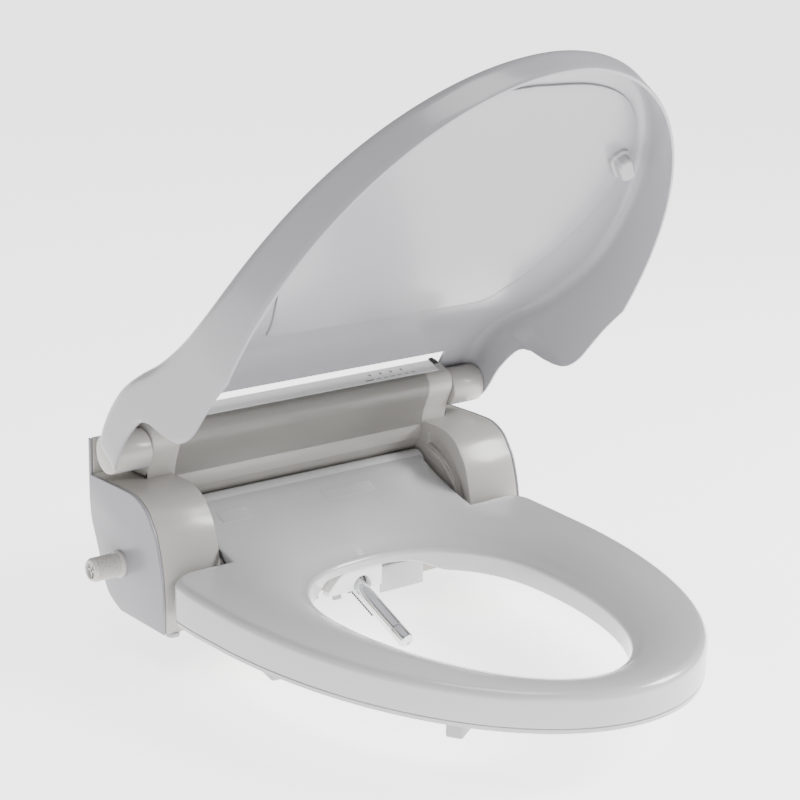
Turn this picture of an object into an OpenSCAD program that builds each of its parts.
// Electric bidet seat: housing with two arms, heated seat ring, half-open lid, spray wand and works.
// Frame: X to the right seen from the front, the seat's nose points to -Y, +Z up.
// The origin is midway between the two fixing bolts, on the underside of the mounting plate.

/* [Overall] */
// Width across the two side caps
overall_w = 390; // [370:1:430]
// Width of each arm of the housing
arm_w = 59; // [56:1:64]
// Front face of the arms, measured forward of the fixing bolts
arm_reach = 68; // [64:1:76]
// Moulded wall of the housing shells
wall = 3; // [2:0.1:3.4]
// Gap between pieces that are fastened to each other
fit = 0.3; // [0.2:0.05:0.5]

/* [Hinges] */
// Lid hinge axis behind the bolts
lid_y = 12; // [10:0.5:14]
// Lid hinge axis above the bowl
lid_z = 138; // [136:0.5:144]
// Radius of the lid's hinge barrels
barrel_r = 17.5; // [15:0.5:18]
// Radius of the lid's hinge shafts
lid_shaft_r = 6; // [5:0.1:7]
// Seat hinge axis behind the bolts
seat_y = 10; // [8:0.5:12]
// Seat hinge axis above the bowl
seat_z = 72; // [70:0.5:74]
// Radius of the seat's hinge pins
seat_pin_r = 5; // [4:0.1:6]
// Radial clearance of the hinge pins
run_fit = 0.06; // [0.02:0.01:0.1]
// Angle the lid stands open from closed
lid_open = 57.4; // [0:0.1:100]

/* [Seat] */
// How far each side cap stands out past the seat ring
seat_inset = 2; // [1:0.5:12]
// Where the seat ring is widest, forward of the bolts
seat_wide_at = 138; // [130:1:150]
// Front tip of the seat ring, forward of the bolts
seat_reach = 452; // [430:1:480]
// Width of the opening
hole_w = 212; // [200:1:230]
// Front end of the opening, forward of the bolts
hole_front = 395; // [370:1:405]
// Where the opening is widest, forward of the bolts
hole_wide_at = 199; // [190:1:210]
// Rear end of the opening, forward of the bolts
hole_rear = 88; // [86:1:94]
// Underside of the seat above the bowl
seat_low = 13; // [12:0.5:16]
// Height of the opening's rounded rim above the bowl
rim_z = 34; // [32:0.5:36]
// Top of the seat at its front tip above the bowl
seat_top_z = 46; // [44:0.5:50]
// Thickness of the seat's base plate
base_t = 4.5; // [4:0.1:5]
// Moulded wall of the seat shell
seat_wall = 3; // [2.5:0.1:3.4]

/* [Lid] */
// How far the lid stands out past each side cap
lid_proud = 12.5; // [5:0.5:20]
// Front tip of the lid from its hinge axis
lid_reach = 486; // [470:1:530]
// Where the lid is widest, from its hinge axis
lid_wide_at = 195; // [185:1:205]
// Rim of the closed lid below the hinge axis
lid_rim = 105; // [100:0.5:108]
// Moulded wall of the lid
lid_wall = 3; // [2.4:0.1:3.6]

/* [Wand] */
// Radius of the spray wand
wand_r = 7; // [6:0.1:7.4]
// How far the wand stands out of its shroud
wand_out = 80; // [60:1:90]
// Length of wand inside its guide
wand_in = 36; // [32:1:38]
// Slope of the wand below level
wand_slope = 22; // [20:0.5:24]
// Teeth on the drive pinion
pinion_teeth = 12; // [12:1:14]
// Tooth module of the drive
module_mm = 0.8; // [0.8:0.05:0.9]

/* [Mounting] */
// Distance between the two bolts of the bowl that the plate's slots go over
bolt_spacing = 140; // [130:1:150]
// Radius of those bolts
bolt_r = 4; // [3:0.1:4.5]
// Slot length in the mounting plate, end to end
slot_len = 40; // [30:1:44]
// Water inlet thread outer radius, a G1/2 male thread
inlet_r = 10.48; // [10.2:0.01:10.6]
// Length of the inlet stub beyond the side cap
inlet_len = 29; // [24:1:32]

/* [Hidden] */
$fn = 48;
half = overall_w / 2;
cap_t = wall;
arm_in = half - arm_w;
cap_in = half - cap_t;
mid_half = arm_in + 27;
floor_t = 3;
ledge_z = 110;
back_y = 50;
tongue_half = arm_in - 3;
deck_front = 74;
nose_r = 12;
trough_r = nose_r + 1.3;
seat_half = half - seat_inset;
hole_half = hole_w / 2;
lid_half = half + lid_proud;
lid_rear_half = lid_half - 5;
lid_back = 7;
crest_gap = 33;
slot_w = 2 * bolt_r + 1;
plate_t = 4;
exit_y = -75;
exit_z = 5.6;
wand_u = [0, -cos(wand_slope), -sin(wand_slope)];
white = [0.87, 0.87, 0.88];
greige = [0.80, 0.79, 0.77];
lilac = [0.78, 0.77, 0.80];
dark = [0.12, 0.12, 0.13];

// ---------- helpers ----------

// An outline in the side view, (y, z) points, drawn out along X.
module side(x0, x1, pts) {
  translate([x0, 0, 0])
    rotate([90, 0, 90])
      linear_extrude(x1 - x0)
        polygon(pts);
}

// An outline in the top view, drawn out along Z.
module plan(z0, z1, pts) {
  translate([0, 0, z0])
    linear_extrude(z1 - z0)
      polygon(pts);
}

// A cylinder along X.
module xrod(x0, x1, r, y, z) {
  translate([x0, y, z])
    rotate([0, 90, 0])
      cylinder(h = x1 - x0, r = r);
}

// A box between two corners.
module block(lo, hi) {
  translate(lo)
    cube(hi - lo);
}

// The same piece on the left and on the right.
module both() {
  children();
  mirror([1, 0, 0]) children();
}

// An oval with its own half-length in front (-Y) and behind, and its own fullness there.
function oval(a, front, rear, yc, ef = 2, er = 2, n = 56) = [
  for (i = [0 : n - 1])
    let (t = 360 * i / n, c = cos(t), s = sin(t), e = s < 0 ? ef : er, b = s < 0 ? front : rear)
      [a * sign(c) * pow(abs(c), 2 / e), yc + b * sign(s) * pow(abs(s), 2 / e)]
];

function unit(v) = v / norm(v);

// An anticlockwise outline moved inwards by t on every side.
function inset(p, t) = [
  for (i = [0 : len(p) - 1])
    let (
      a = p[(i + len(p) - 1) % len(p)], b = p[i], c = p[(i + 1) % len(p)],
      u = unit(b - a), v = unit(c - b), m = [-u[1], u[0]], k = [-v[1], v[0]]
    )
      b + (m + k) * t / (1 + m * k)
];

// ---------- outlines of the housing ----------

// Underside and back, shared by the arms and the middle, from the front bottom round to the top rear.
function under_and_back(front) = [
  [front, 0], [0, 0], [21, 11], [36, 44], [47, 70], [back_y, 100]
];

// Curved top and front of an arm, from the ledge forward and down.
arm_nose = [
  [-3, ledge_z + 1], [-25, ledge_z], [-41, ledge_z - 7], [-50, ledge_z - 17],
  [-arm_reach + 11, ledge_z - 28], [-arm_reach + 5, ledge_z - 46],
  [-arm_reach + 1, ledge_z - 65], [-arm_reach, 30]
];

arm_out = concat(
  under_and_back(-arm_reach),
  [[back_y, lid_z + 4], [back_y - wall, lid_z + 4], [back_y - wall, ledge_z]],
  arm_nose
);

arm_body = concat(under_and_back(-arm_reach), [[back_y, ledge_z]], arm_nose);

// Middle of the housing: deck under the seat, seat hinge trough, leaning face, crest and back.
mid_out = concat(
  under_and_back(-deck_front),
  [
    [back_y, lid_z + 4], [lid_y + 31, lid_z + 11], [lid_y + 18, lid_z + 21],
    [lid_y + 10, lid_z + 26], [lid_y - 7, lid_z + 20], [lid_y - 13, lid_z + 15],
    [lid_y - 16, lid_z + 6], [4, 130], [8, 112], [9, 100], [seat_y + 3, seat_z + 20]
  ],
  [for (a = [55 : -23 : -60]) [seat_y + trough_r * cos(a), seat_z + trough_r * sin(a)]],
  [[seat_y, seat_z - 14.5], [2, 55], [-deck_front, 25]]
);
mid_in = inset(mid_out, wall);

// ---------- mounting ----------

module slot_hole(x, z0, z1, grow = 0) {
  run = (slot_len - slot_w) / 2;
  for (s = [-1, 1])
    translate([x + s * run, 0, z0]) cylinder(h = z1 - z0, r = slot_w / 2 + grow);
  block([x - run, -slot_w / 2 - grow, z0], [x + run, slot_w / 2 + grow, z1]);
}

plate_half_x = bolt_spacing / 2 + slot_len / 2 + 12;
plate_y0 = -20;
plate_y1 = 24;
pocket_z = plate_t + 6;

module mounting_plate() {
  color(dark)
    difference() {
      union() {
        block([-plate_half_x, plate_y0, 0], [plate_half_x, plate_y1, plate_t]);
        block([-plate_half_x, plate_y1 - 4, 0], [plate_half_x, plate_y1, plate_t + 3]);
      }
      for (s = [-1, 1]) slot_hole(s * bolt_spacing / 2, -1, plate_t + 5);
    }
}

// ---------- housing ----------

well_half = 40;
well_low = -5;
duct_x0 = 23;
duct_x1 = 71;

// Room for the mounting plate and the heads of its bolts, left free in the base.
module plate_pocket() {
  block([-plate_half_x - 1, plate_y0 - 1, -1], [plate_half_x + 1, plate_y1 + 1, pocket_z]);
}

tray_half = arm_in - wall - fit;

module base_tray() {
  rim = 14;
  color(greige)
    difference() {
      union() {
        difference() {
          side(-tray_half, tray_half, [
            [-deck_front + wall + fit, 0], [0, 0], [9, 5], [9, rim + plate_t], [-deck_front + wall + fit, rim]
          ]);
          side(-tray_half + wall, tray_half - wall, [
            [-deck_front + 2 * wall + fit, floor_t], [0, floor_t], [6, 7], [6, 40], [-deck_front + 2 * wall + fit, 40]
          ]);
        }
        // roof of the pocket that holds the mounting plate
        block([-plate_half_x - 3, plate_y0 - 3, floor_t - 1], [plate_half_x + 3, 7, pocket_z + 2]);
        both() {
          difference() {
            block([arm_in + wall + fit, -arm_reach + wall + fit, 0], [cap_in - 6 - fit, 0, 8]);
            block([arm_in + 2 * wall, -arm_reach + 2 * wall, floor_t], [cap_in - 6 - wall, -wall, 9]);
          }
          block([tray_half - 2, -60, 0], [arm_in + wall + 3, -8, floor_t]);
        }
      }
      plate_pocket();
      // nozzle, drive and dryer duct
      block([-well_half, -deck_front - 1, -1], [duct_x1 + 4, -34, floor_t + 1]);
      block([-well_half, -deck_front - 1, -1], [duct_x1 + 4, -deck_front + 3 * wall, 30]);
      block([-guide_half - 1, -60, -1], [28, -21, 20]);
      block([-guide_half - 1, -22, floor_t], [28, -10, 20]);
      block([duct_x0 + 7, 0, pocket_z + 2], [duct_x1 + 4, 12, 30]);
      for (p = screw_places) translate([p[0], p[1], -1]) cylinder(h = 20, r = 2.2);
    }
}

screw_places = [
  [-120, -62], [-60, -62], [100, -62], [-160, -50], [160, -50], [-160, -14], [160, -14]
];

module base_screws() {
  color("dimgray")
    for (p = screw_places)
      translate([p[0], p[1], 0]) {
        cylinder(h = 7.6, r = 2);
      }
}

module base_pads() {
  color("gray")
    for (s = [-1, 1])
      for (y = [-64, -10])
        translate([s * (half - 12), y, -4]) cylinder(h = 4, r = 6);
}

module top_cover() {
  color(greige)
    difference() {
      union() {
        side(-mid_half, mid_half, mid_upper());
        side(-arm_in, arm_in, mid_out);
        both() side(arm_in, cap_in - fit, arm_out);
      }
      side(-mid_half + wall, mid_half - wall, inset(mid_upper(), wall));
      side(-arm_in + wall, arm_in - wall, mid_in);
      both() {
        side(arm_in + wall, cap_in + 1, inset(arm_body, wall));
        // open underneath, where the base tray closes it
        side(arm_in + wall, cap_in + 1, [[-arm_reach + wall, -1], [0, -1], [0, 8], [-arm_reach + wall, 8]]);
        // the base tray's bridge between middle and arm
        block([tray_half - 1, -60 - fit, -1], [arm_in + wall + 1, -8 + fit, floor_t + fit]);
        // hose and wire way between arm and middle
        block([arm_in - wall - 1, -10, 14], [arm_in + wall + 1, 6, 46]);
        // seat hinge pin
        xrod(arm_in - wall - 1, arm_in + wall + 1, seat_pin_r + run_fit, seat_y, seat_z);
        // lid hinge shaft
        xrod(mid_half - wall - 1, mid_half + 1, lid_shaft_r, lid_y, lid_z);
      }
      side(-arm_in + wall, arm_in - wall, [
        [-deck_front + wall, -1], [0, -1], [9, 5], [9, 12], [-deck_front + wall, 12]
      ]);
      // nozzle and dryer opening in the front face under the seat
      block([-well_half, -deck_front - 1, -1], [duct_x1 + 4, -deck_front + wall + 1, 22]);
      plate_pocket();
      strip_solid(fit);
      sensor_solid(fit);
      release_hole();
      gland_hole();
    }
}

// The part of the middle above the arms, as wide as the lid's barrels leave it.
function mid_upper() = [
  [8, ledge_z + 2], [back_y, ledge_z + 2], [back_y, lid_z + 4], [lid_y + 31, lid_z + 11],
  [lid_y + 18, lid_z + 21], [lid_y + 10, lid_z + 26], [lid_y - 7, lid_z + 20],
  [lid_y - 13, lid_z + 15], [lid_y - 16, lid_z + 6], [4, 130]
];

module side_cap() {
  difference() {
    side(cap_in, half, arm_out);
    children();
  }
  // a rim that plugs into the arm's open end
  difference() {
    side(cap_in - 6, cap_in, inset(arm_body, wall + fit));
    side(cap_in - 7, cap_in + 1, inset(arm_body, wall + fit + 2));
    block([cap_in - 7, -arm_reach, -1], [cap_in + 1, 9, 9]);
    children();
  }
}

module left_side_cap() {
  color(lilac)
    mirror([1, 0, 0])
      side_cap()
        xrod(cap_in - 10, half + 1, inlet_r - 0.98 + 2, inlet_y, inlet_z);
}

cass_y0 = -56;
cass_y1 = -18;
cass_z0 = 14;
cass_z1 = 50;

module right_side_cap() {
  color(lilac)
    side_cap() {
      union() {
        block([cap_in - 10, cass_y0 - fit, cass_z0 - fit], [half + 1, cass_y1 + fit, cass_z1 + fit]);
        xrod(cap_in - 10, half + 1, button_r + fit, button_y, button_z);
      }
    }
}

// Black gloss band along the rear top edge.
module rear_trim() {
  color(dark)
    side(-mid_half + 6, mid_half - 6, [
      [back_y, lid_z - 20], [back_y + 3, lid_z - 20], [back_y + 3, lid_z + 5],
      [lid_y + 32.5, lid_z + 14], [lid_y + 31, lid_z + 11], [back_y, lid_z + 4]
    ]);
}

// ---------- top strip ----------

strip_half = mid_half - 10;
strip_a = [lid_y - 7, lid_z + 20];
strip_b = [lid_y + 10, lid_z + 26];
strip_t = 2;
strip_n = unit([strip_a[1] - strip_b[1], strip_b[0] - strip_a[0]]);

module strip_solid(grow) {
  side(-strip_half - grow, strip_half + grow, [
    strip_a - strip_n * (strip_t + grow) + [0.6 - grow, 0],
    strip_b - strip_n * (strip_t + grow) + [grow - 0.6, 0],
    strip_b + strip_n * grow + [grow - 0.6, 0],
    strip_a + strip_n * grow + [0.6 - grow, 0]
  ]);
}

led_x = [80, 92, 104, 116];
led_r = 1.5;

module on_strip(x) {
  mid = (strip_a + strip_b) / 2;
  translate([x, mid[0], mid[1]])
    rotate([atan2(strip_b[1] - strip_a[1], strip_b[0] - strip_a[0]), 0, 0])
      children();
}

module indicator_strip() {
  color("white")
    difference() {
      strip_solid(0);
      for (x = led_x) on_strip(x) translate([0, 3, -4]) cylinder(h = 6, r = led_r + 0.1);
    }
}

module indicator_lenses() {
  color([0.5, 0.55, 0.6])
    for (x = led_x)
      on_strip(x) translate([0, 3, -strip_t]) cylinder(h = strip_t + 0.4, r = led_r);
}

module sensor_solid(grow) {
  block([strip_half + 2 - grow, lid_y - 13.5 - grow, lid_z + 6],
        [strip_half + 7 + grow, lid_y - 9 + grow, lid_z + 12 + grow]);
}

module sensor_window() {
  color(dark)
    intersection() {
      sensor_solid(0);
      side(0, mid_half, mid_upper());
    }
}

// ---------- water ----------

inlet_y = 0;
inlet_z = 43;

module water_inlet() {
  color([0.82, 0.80, 0.78])
    difference() {
      union() {
        xrod(-half - inlet_len, -cap_in + 12, inlet_r, inlet_y, inlet_z);
        xrod(-half - 3, -half, inlet_r + 1.4, inlet_y, inlet_z);
        xrod(-cap_in + 12, -cap_in + 16, 16, inlet_y, inlet_z);
      }
      xrod(-half - inlet_len - 1, -cap_in + 17, 6.5, inlet_y, inlet_z);
    }
}

module inlet_strainer() {
  color("dimgray")
    xrod(-half - inlet_len + 2, -half - inlet_len + 5, 6.5, inlet_y, inlet_z);
}

valve_x0 = -cap_in + 16;

module inlet_valve() {
  color("steelblue") {
    block([valve_x0, -14, inlet_z - 16], [-arm_in - wall - 4, 14, inlet_z + 12]);
    translate([(valve_x0 - arm_in - wall - 4) / 2, 0, inlet_z - 30]) cylinder(h = 14, r = 9);
  }
}

pump_r = 15;
pump_y = -42;

module water_pump() {
  color("slategray") {
    xrod(-cap_in + 10, -arm_in - wall - 4, pump_r, pump_y, 30);
  }
}

tank = [[-124, -30, pocket_z + 2.2], [-34, 4, 38]];

module heater_tank() {
  color("ivory")
    difference() {
      block(tank[0], tank[1]);
      block(tank[0] + [2.5, 2.5, 2.5], tank[1] - [2.5, 2.5, 2.5]);
    }
}

module heater_element() {
  color("orangered")
    for (y = [-21, -5])
      xrod(tank[0][0] + 2.5, tank[1][0] - 14, 4, y, (tank[0][2] + tank[1][2]) / 2);
}

module water_hoses() {
  hose_r = 4;
  color([0.75, 0.8, 0.85]) {
    // valve to tank, through the arm's wire way
    xrod(-arm_in - wall - 4, tank[0][0], hose_r, -4, 32);
    // pump to valve
    translate([-cap_in + 24, pump_y + pump_r + 0.2, inlet_z - 10])
      rotate([-90, 0, 0]) cylinder(h = -14 - pump_y - pump_r - 0.2, r = hose_r);
    // tank to nozzle guide
    xrod(tank[1][0], -guide_half, hose_r, -2, 32);
  }
}

// ---------- wand ----------

guide_half = 12;
guide_len = 114;
pinion_r = pinion_teeth * module_mm / 2;
rack_top = wand_r - 0.6;
rack_pitch = wand_r + 2.6;
pinion_u = -wand_in - 1;
wand_travel = 66;
pinion_drop = rack_pitch + pinion_r;

// Child is drawn with +X sideways, +Z along the wand outwards and +Y up, then put at the exit.
module on_wand(u = 0) {
  translate([0, exit_y, exit_z])
    rotate([90 + wand_slope, 0, 0])
      translate([0, 0, u])
        children();
}

module nozzle_guide() {
  color("whitesmoke")
    difference() {
      on_wand(-guide_len)
        translate([-guide_half, -wand_r - 5, 0]) cube([2 * guide_half, 2 * wand_r + 8, guide_len - 10]);
      on_wand(-guide_len - 1) cylinder(h = guide_len + 4, r = wand_r + fit);
      on_wand(-guide_len - 1)
        translate([-4.5, -wand_r - 6, 0]) cube([9, wand_r + 6, guide_len + 4]);
      on_wand(pinion_u)
        translate([-6, -wand_r - 6, -9]) cube([20, 6, 18]);
      block([-well_half, -deck_front - 10, -10], [well_half, 60, floor_t + 0.5]);
      block([-well_half, 20, 0], [well_half, 60, 90]);
    }
}

module nozzle_wand() {
  color("silver")
    on_wand(-wand_in)
      difference() {
        cylinder(h = wand_in + wand_out - 16, r = wand_r);
        translate([0, 0, -1]) cylinder(h = wand_in + wand_out, r = wand_r - 1.2);
      }
}

module nozzle_tip() {
  color("gainsboro")
    on_wand(wand_out - 16)
      difference() {
        cylinder(h = 16, r = wand_r);
        for (z = [5, 8, 11]) translate([0, wand_r - 3, z]) rotate([-90, 0, 0]) cylinder(h = 5, r = 0.7);
      }
}

rack_pitch_len = PI * module_mm;

module nozzle_rack() {
  n = floor((wand_travel + 8) / rack_pitch_len);
  bar_low = -rack_pitch + module_mm + 0.3;
  color(dark)
    on_wand() {
      translate([-3, bar_low, pinion_u - 4])
        cube([6, -wand_r - 0.1 - bar_low, n * rack_pitch_len + 2]);
      for (i = [0 : n - 1])
        translate([-3, 0, pinion_u + rack_pitch_len * (i - 0.5)])
          rotate([0, 90, 0])
            linear_extrude(6)
              polygon([
                [-0.9, bar_low + 0.1], [0.9, bar_low + 0.1],
                [0.28, bar_low - 2 * module_mm], [-0.28, bar_low - 2 * module_mm]
              ]);
      // foot that joins the rack to the wand's rear end
      translate([-3, -wand_r - 0.2, pinion_u - 4])
        cube([6, 4, -wand_in - pinion_u + 4]);
    }
}

module drive_pinion() {
  color("white")
    on_wand(pinion_u)
      translate([0, -pinion_drop, 0])
        rotate([0, 90, 0]) {
          translate([0, 0, -3.5])
            linear_extrude(7)
              union() {
                circle(r = pinion_r - module_mm - 0.1);
                for (i = [0 : pinion_teeth - 1])
                  rotate(360 / pinion_teeth * i)
                    polygon([
                      [pinion_r - module_mm - 0.5, 0.72], [pinion_r - module_mm - 0.5, -0.72],
                      [pinion_r + module_mm * 0.6, -0.22], [pinion_r + module_mm * 0.6, 0.22]
                    ]);
              }
          translate([0, 0, 3.5]) cylinder(h = 7, r = 2);
        }
}

pinion_y = exit_y - pinion_u * cos(wand_slope) + pinion_drop * sin(wand_slope);
pinion_z = exit_z - pinion_u * sin(wand_slope) - pinion_drop * cos(wand_slope);

module nozzle_motor() {
  color("silver")
    difference() {
      xrod(7, 26, 13, pinion_y, pinion_z + 8);
      xrod(0, 12, 2 + run_fit, pinion_y, pinion_z);
      on_wand(-guide_len)
        translate([-guide_half - fit, -wand_r - 6, 0]) cube([2 * guide_half + 2 * fit, 2 * wand_r + 10, guide_len]);
    }
}

module nozzle_shroud() {
  x0 = -36;
  x1 = duct_x0 - 1;
  color("white")
    difference() {
      side(x0, x1, [
        [-deck_front - 0.2, well_low], [-deck_front - 0.2, 24], [-deck_front - 6, 24], [-deck_front - 10, 18],
        [-deck_front - 10, well_low]
      ]);
      on_wand(-30) cylinder(h = 60, r = wand_r + 2);
      on_wand(-30) translate([-5, -wand_r - 14, 0]) cube([10, wand_r + 12, 60]);
    }
}

// ---------- dryer ----------

outlet_z0 = -7;
outlet_z1 = 9;
flap_t = 2.5;

fan_x0 = 36;
fan_x1 = 62;
fan_y = 29;
fan_z = 118;
fan_r = 15;
duct_wall = 2;
duct_out = [
  [-deck_front - 1, outlet_z0 + 1], [-42, 4], [-34, pocket_z + 2.5], [12, pocket_z + 2.5], [20, 20],
  [31, 46], [42, 71], [42, fan_z - fan_r - 4], [30, fan_z - fan_r - 4], [30, 63], [20, 47],
  [-10, 45], [-36, 31], [-deck_front - 1, 20]
];

module dryer_duct() {
  color("gainsboro")
    difference() {
      side(duct_x0 + 8, duct_x1 + 3, duct_out);
      side(duct_x0 + 8 + duct_wall, duct_x1 + 3 - duct_wall, inset(duct_out, duct_wall));
      // open at the outlet and at the fan
      side(duct_x0 + 8 + duct_wall, duct_x1 + 3 - duct_wall, [
        [-deck_front - 2, outlet_z0 + 3.2], [-deck_front + 3, outlet_z0 + 4.2],
        [-deck_front + 3, 18], [-deck_front - 2, 17.6]
      ]);
      block([fan_x0, 32, fan_z - fan_r - 8], [fan_x1, 40, fan_z - fan_r]);
    }
}

module dryer_heater() {
  color("sienna")
    for (k = [0 : 3])
      block([duct_x0 + 8 + duct_wall, -24 + 8 * k, 18], [duct_x1 + 3 - duct_wall, -23 + 8 * k, 32]);
}

module dryer_scroll() {
  color("dimgray")
    difference() {
      union() {
        xrod(fan_x0 - 2, fan_x1 + 2, fan_r + 2, fan_y, fan_z);
        block([fan_x0 - 2, 30, fan_z - fan_r - 3.8], [fan_x1 + 2, 42, fan_z]);
      }
      xrod(fan_x0, fan_x1, fan_r, fan_y, fan_z);
      block([fan_x0, 32, fan_z - fan_r - 5], [fan_x1, 40, fan_z]);
      xrod(fan_x1, fan_x1 + 3, 9, fan_y, fan_z);
      xrod(fan_x0 - 3, fan_x0 + 1, 2 + run_fit, fan_y, fan_z);
    }
}

// A squirrel-cage wheel on a short shaft.
module impeller(x0, x1, r, y, z, shaft_x) {
  xrod(x0, x0 + 2, r, y, z);
  xrod(shaft_x, x0 + 6, 2, y, z);
  for (i = [0 : 11])
    translate([x0 + 2, y, z])
      rotate([30 * i, 0, 0])
        translate([0, 0, r - 4]) cube([x1 - x0 - 4, 1.2, 3]);
  difference() {
    xrod(x1 - 2, x1, r, y, z);
    xrod(x1 - 3, x1 + 1, r - 4.5, y, z);
  }
}

module dryer_impeller() {
  color("black")
    impeller(fan_x0 + 2, fan_x1 - 2, fan_r - 3, fan_y, fan_z, fan_x0 - 2);
}

flap_y = -deck_front - 4;
flap_z = 18;

module dryer_flap() {
  color("lightgray") {
    block([duct_x0 + 1, -deck_front - 6, outlet_z0], [duct_x1, -deck_front - 6 + flap_t, flap_z - 2.4]);
    xrod(duct_x0 + 1, duct_x1, 2, flap_y, flap_z - 2);
  }
}

// ---------- odour filter ----------

fan_case_r = 18 - wall;

module odour_fan_case() {
  color("dimgray")
    difference() {
      xrod(arm_in + wall + 4, arm_in + wall + 22, fan_case_r, 14, 40);
      xrod(arm_in + wall + 6, arm_in + wall + 20, fan_case_r - 2, 14, 40);
      xrod(arm_in + wall + 19, arm_in + wall + 23, 7, 14, 40);
      xrod(arm_in + wall + 3, arm_in + wall + 7, 2 + run_fit, 14, 40);
    }
}

module odour_impeller() {
  color("black")
    impeller(arm_in + wall + 7.5, arm_in + wall + 18.5, 11, 14, 40, arm_in + wall + 4);
}

module filter_cassette() {
  color("gainsboro")
    difference() {
      block([arm_in + wall + 4, cass_y0, cass_z0], [half + 0.6, cass_y1, cass_z1]);
      block([arm_in + wall + 8, cass_y0 + 3, cass_z0 + 3], [half - 8, cass_y1 - 3, cass_z1 + 1]);
      block([half - 3, cass_y0 + 10, cass_z0 + 12], [half + 1, cass_y1 - 10, cass_z0 + 24]);
    }
}

module filter_charcoal() {
  color("black")
    block([arm_in + wall + 8.3, cass_y0 + 3.3, cass_z0 + 3], [half - 8.3, cass_y1 - 3.3, cass_z1 - 2]);
}

// ---------- electronics ----------

board_t = 1.6;
board_y = back_y - wall - 5.4;
board_top = lid_z + 11 - wall;

module control_board() {
  color("darkgreen") {
    block([-120, board_y - board_t, 96], [20, board_y, board_top]);
    block([-100, board_y - board_t - 7, 104], [-80, board_y - board_t, 124]);
    block([-40, board_y - board_t - 5, 110], [-20, board_y - board_t, 130]);
  }
}

module power_board() {
  color("darkgreen") {
    block([76, board_y - board_t, 96], [130, board_y, board_top]);
    block([84, board_y - board_t - 20, 106], [112, board_y - board_t, 136]);
  }
}

module board_screws() {
  color("silver")
    for (x = [-112, 12, 84, 122])
      for (z = [104, 137])
        translate([x, board_y, z]) rotate([-90, 0, 0]) cylinder(h = back_y - wall - 0.4 - board_y, r = 1.8);
}

// ---------- buttons ----------

button_r = 6;
button_y = -30;
button_z = 80;

module power_button() {
  color("white") {
    xrod(cap_in - 3, half + 2.4, button_r, button_y, button_z);
    xrod(cap_in - 5.5, cap_in - 2.4, button_r + 2, button_y, button_z);
  }
}

// A few loose turns of a compression spring, along X.
module turns(x0, count, pitch, r, y, z) {
  for (k = [0 : count - 1])
    difference() {
      xrod(x0 + pitch * k, x0 + pitch * k + 1, r, y, z);
      xrod(x0 + pitch * k - 1, x0 + pitch * k + 2, r - 1, y, z);
    }
}

module button_spring() {
  color("silver")
    turns(cap_in - 16, 4, 2.2, 4, button_y, button_z);
}

latch_x = -cap_in + 22;

module release_hole() {
  block([latch_x - 11, -arm_reach - 1, 10.7], [latch_x + 11, -arm_reach + wall + 1, 21.3]);
}

module release_button() {
  color("gray") {
    block([latch_x - 10.7, -arm_reach - 1, 11], [latch_x + 10.7, -arm_reach + wall + 1, 21]);
    block([latch_x - 12, -arm_reach + wall + 0.6, 10], [latch_x + 12, -arm_reach + wall + 2.6, 22]);
  }
}

module gland_hole() {
  translate([120, back_y - 8, 90]) rotate([-90, 0, 0]) cylinder(h = 12, r = 5);
}

module cord_gland() {
  color(dark)
    translate([120, back_y - 6, 90])
      rotate([-90, 0, 0]) {
        cylinder(h = 8, r = 4.8);
        translate([0, 0, 8]) cylinder(h = 3, r = 8);
        translate([0, 0, 11]) cylinder(h = 12, r1 = 6, r2 = 4);
      }
}

// ---------- seat ----------

seat_plan = concat(
  [for (i = [0 : 28]) let (t = 180 + 180 * i / 28)
    [seat_half * cos(t), -seat_wide_at + (seat_reach - seat_wide_at) * sin(t)]],
  [
    [seat_half + 1, -100], [seat_half, -84], [seat_half - 6, -75],
    [seat_half - 14, -arm_reach - 3], [tongue_half, -arm_reach - 3], [tongue_half, seat_y],
    [-tongue_half, seat_y], [-tongue_half, -arm_reach - 3], [-seat_half + 14, -arm_reach - 3],
    [-seat_half + 6, -75], [-seat_half, -84], [-seat_half - 1, -100]
  ]
);

// Top of the seat in the side view, from the tip to the hinge.
seat_over = [
  [-seat_reach - 2, seat_top_z - 5], [-seat_reach + 8, seat_top_z], [-300, seat_top_z + 1],
  [-seat_wide_at, seat_top_z + 4], [-90, seat_top_z + 6], [-66, seat_top_z + 9],
  [-30, seat_z - 4], [0, seat_z + 8], [seat_y - 3, seat_z + 11.4]
];

split_z = seat_low + base_t;

// Underside of the seat's top shell and of its base plate, from the hinge to the tip.
function seat_under(drop) = [
  [seat_y, 60.5 + base_t - drop], [3, 59.5 + base_t - drop], [-deck_front - 3, 27 + base_t - drop],
  [-deck_front - 3, split_z - drop], [-seat_reach - 2, split_z - drop]
];

function backwards(p) = [for (i = [len(p) - 1 : -1 : 0]) p[i]];

// closed outline, anticlockwise in (y, z)
seat_side = concat([[-seat_reach - 2, split_z]], backwards(seat_under(0)), backwards(seat_over));

module opening(grow, z0, z1) {
  plan(z0, z1, oval(hole_half + grow, hole_front - hole_wide_at + grow, hole_wide_at - hole_rear + grow,
                    -hole_wide_at, 2, 2.3, 56));
}

// The dished slope from the rim of the opening up to the seat's top, outside a narrow flat land.
dish_rise = 30;
dish_scale = [1.68, 1.38];
rim_land = 2;

module dish(grow, drop) {
  g = grow + rim_land;
  translate([0, -hole_wide_at, rim_z - drop])
    linear_extrude(height = dish_rise, scale = dish_scale, slices = 1)
      polygon(oval(
        hole_half + g, hole_front - hole_wide_at + g, hole_wide_at - hole_rear + g, 0, 2, 2.3, 56
      ));
}

// Arched relief in the seat over the wand, the dryer flap and their shroud.
module wand_arch(z_top) {
  block([-46, -deck_front - 30, 0], [duct_x1 + 10, -deck_front - 2, z_top]);
}

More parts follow.
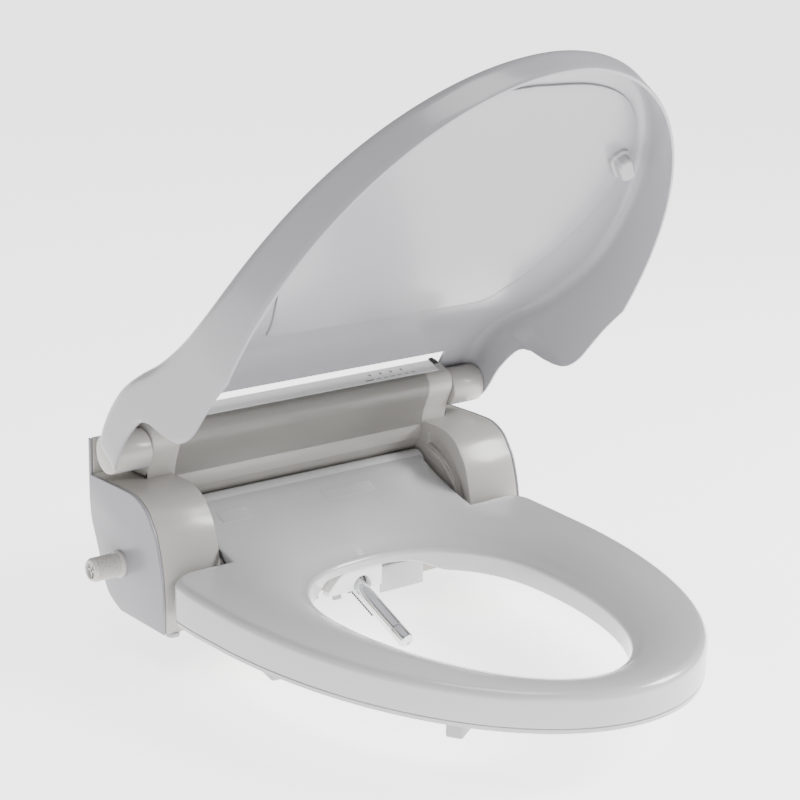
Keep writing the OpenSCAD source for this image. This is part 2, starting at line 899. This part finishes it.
module seat_top_shell() {
  color(white)
    difference() {
      union() {
        difference() {
          intersection() {
            plan(0, 100, seat_plan);
            side(-half, half, seat_side);
          }
          opening(0, 0, 100);
          dish(0, 0);
        }
        xrod(-tongue_half + 1, tongue_half - 1, nose_r, seat_y, seat_z);
      }
      difference() {
        intersection() {
          plan(0, 100, inset(seat_plan, seat_wall));
          side(-half, half, concat(
            [[-seat_reach - 2, split_z - 1], [-deck_front - 3, split_z - 1], [-deck_front - 3, 26 + base_t],
             [-6, 55 + base_t]],
            [for (i = [len(seat_over) - 3 : -1 : 0]) seat_over[i] - [0, seat_wall + 0.2]]
          ));
        }
        opening(seat_wall + 1, 0, 100);
        dish(seat_wall + 1, 1);
        block([-52, -deck_front - 34, 0], [duct_x1 + 16, -deck_front + 4, 60]);
      }
      wand_arch(27.5);
      both()
        xrod(tongue_half - 24, tongue_half + 1, seat_pin_r, seat_y, seat_z);
    }
}

module seat_base_plate() {
  riser = -deck_front - 1.2;
  color(white)
    difference() {
      intersection() {
        plan(0, 100, inset(seat_plan, 1));
        side(-half, half, [
          [-seat_reach - 2, seat_low], [riser, seat_low], [riser, 27], [-8, 54.6], [-8, 59.2],
          [-deck_front - 3, 27 + base_t - 0.1], [-deck_front - 3, split_z], [-seat_reach - 2, split_z]
        ]);
      }
      opening(1, 0, 100);
      block([-50, -deck_front - 32, 0], [duct_x1 + 14, -deck_front, 40]);
      bumper_sockets();
    }
}

bumper_len = 30;
bumper_w = 14;
bumper_spots = [[-112, -358, 32], [112, -358, -32], [-166, -186, 78], [166, -186, -78]];

module bumper_at(p) {
  translate([p[0], p[1], 0])
    rotate(p[2])
      children();
}

module bumper_sockets() {
  for (p = bumper_spots)
    bumper_at(p) block([-9, -3, 0], [9, 3, split_z + 1]);
}

module seat_bumpers() {
  color("lightgray")
    for (p = bumper_spots)
      bumper_at(p) {
        block([-bumper_len / 2, -bumper_w / 2, 0.2], [bumper_len / 2, bumper_w / 2, seat_low]);
        block([-8.8, -2.8, seat_low], [8.8, 2.8, split_z]);
      }
}

module seat_heater_foil() {
  color("goldenrod")
    difference() {
      plan(split_z, split_z + 0.8, inset(seat_plan, seat_wall + 3));
      opening(seat_wall + 5, 0, 100);
      block([-half, -deck_front - 12, 0], [half, 40, 100]);
      block([-56, -deck_front - 38, 0], [duct_x1 + 20, 40, 100]);
    }
}

module seat_hinge_pins() {
  color("silver")
    both() xrod(tongue_half - 24, arm_in + wall + 20, seat_pin_r, seat_y, seat_z);
}

module seat_damper() {
  color("dimgray")
    difference() {
      xrod(arm_in + wall + 2, arm_in + wall + 32, 13, seat_y, seat_z);
      xrod(arm_in + wall + 1, arm_in + wall + 21, seat_pin_r + run_fit, seat_y, seat_z);
    }
}

// ---------- lid ----------

// Child is drawn as on the closed lid and turned to its open rest angle.
module lid_pose() {
  translate([0, lid_y, lid_z])
    rotate([-lid_open, 0, 0])
      translate([0, -lid_y, -lid_z])
        children();
}

// From distance along the lid and height over the hinge axis to the closed lid's (y, z).
function sn(s, n) = [lid_y - s, lid_z + n];

lid_plan = concat(
  [for (i = [0 : 32]) let (t = 180 + 180 * i / 32)
    [lid_half * cos(t), lid_y - lid_wide_at + (lid_reach - lid_wide_at) * sin(t)]],
  [[lid_rear_half, lid_y + lid_back], [-lid_rear_half, lid_y + lid_back]]
);

// Top of the lid in the side view, from the front tip back to the hinge.
lid_over = [
  sn(lid_reach, -lid_rim + 22), sn(lid_reach - 24, -lid_rim + 32), sn(lid_reach - 100, -lid_rim + 40),
  sn(300, -lid_rim + 46), sn(240, -52), sn(200, -44), sn(165, -33), sn(130, -18), sn(100, -1),
  sn(80, 9), sn(60, 16), sn(30, 20), sn(-lid_back, 19)
];

// Lower edge of the skirt, from the hinge forward to the tip: a notch behind, a lobe, then the rim.
lid_below = [
  sn(-lid_back, -17), sn(13, -18), sn(32, -18), sn(53, -22), sn(72, -29), sn(83, -43), sn(89, -60),
  sn(101, -80), sn(119, -90), sn(142, -94), sn(167, -98), sn(lid_wide_at, -lid_rim), sn(lid_reach, -lid_rim)
];

lid_side = concat(backwards(lid_below), backwards(lid_over));

module lid_body() {
  difference() {
    intersection() {
      plan(0, 200, lid_plan);
      side(-lid_half, lid_half, lid_side);
    }
    intersection() {
      plan(0, 200, inset(lid_plan, lid_wall));
      side(-lid_half, lid_half, concat(
        [sn(lid_reach, -lid_rim - 5), sn(-lid_back, -lid_rim - 5)],
        [for (i = [len(lid_over) - 1 : -1 : 0]) lid_over[i] - [0, lid_wall * 1.15]]
      ));
    }
    // cut back round the housing's crest
    block([-mid_half - 1, lid_y - crest_gap, lid_z - 60], [mid_half + 1, lid_y + 60, lid_z + 60]);
    both() xrod(mid_half + 0.5, lid_rear_half - lid_wall, barrel_r + 0.1, lid_y, lid_z);
  }
}

module lid_shell() {
  color(white)
    lid_pose()
      lid_body();
}

module lid_inner_panel() {
  t = 2;
  top = [for (p = lid_over) if (p[0] < lid_y - 150) p - [0, lid_wall * 1.15 + 0.3]];
  color(lilac)
    lid_pose()
      intersection() {
        plan(0, 200, oval(lid_half - 50, lid_reach - lid_wide_at - 56, 60, lid_y - lid_wide_at, 2, 4));
        side(-lid_half, lid_half, concat(
          [for (p = top) p - [0, t]],
          backwards(top)
        ));
      }
}

module lid_barrels() {
  color(greige)
    lid_pose()
      both()
        difference() {
          xrod(mid_half + 0.8, lid_rear_half - lid_wall, barrel_r, lid_y, lid_z);
          xrod(mid_half - 1, lid_rear_half - 8, lid_shaft_r + run_fit, lid_y, lid_z);
        }
}

module lid_hinge_shafts() {
  color("silver")
    both() xrod(mid_half - 16, lid_rear_half - 10, lid_shaft_r, lid_y, lid_z);
}

// as thick as the slope of the cover's face leaves room for
lid_damper_r = max(lid_shaft_r + 0.8, 10.5 - wall);

module lid_damper() {
  color("dimgray")
    difference() {
      xrod(mid_half - 40, mid_half - wall - 1, lid_damper_r, lid_y, lid_z);
      xrod(mid_half - 17, mid_half, lid_shaft_r, lid_y, lid_z);
    }
}

lid_bumper_x = lid_half - 61.5;
lid_bumper_s = 345;
lid_bumper_h = 14;

module lid_bumpers() {
  ceiling = lookup(lid_y - lid_bumper_s, lid_over) - lid_wall * 1.15 - 1.5;
  color("lightgray")
    lid_pose()
      both()
        translate([lid_bumper_x, lid_y - lid_bumper_s, 0])
          rotate(40) block([-7, -14, ceiling - lid_bumper_h], [7, 14, ceiling]);
}

mounting_plate();
base_tray();
top_cover();
left_side_cap();
right_side_cap();
rear_trim();
indicator_strip();
indicator_lenses();
sensor_window();
base_screws();
base_pads();
water_inlet();
inlet_strainer();
inlet_valve();
water_pump();
heater_tank();
heater_element();
water_hoses();
nozzle_guide();
nozzle_shroud();
nozzle_wand();
nozzle_tip();
nozzle_rack();
drive_pinion();
nozzle_motor();
dryer_duct();
dryer_heater();
dryer_scroll();
dryer_impeller();
dryer_flap();
odour_fan_case();
odour_impeller();
filter_cassette();
filter_charcoal();
control_board();
power_board();
board_screws();
power_button();
button_spring();
release_button();
cord_gland();
seat_top_shell();
seat_base_plate();
seat_heater_foil();
seat_bumpers();
seat_hinge_pins();
seat_damper();
lid_shell();
lid_inner_panel();
lid_bumpers();
lid_barrels();
lid_hinge_shafts();
lid_damper();
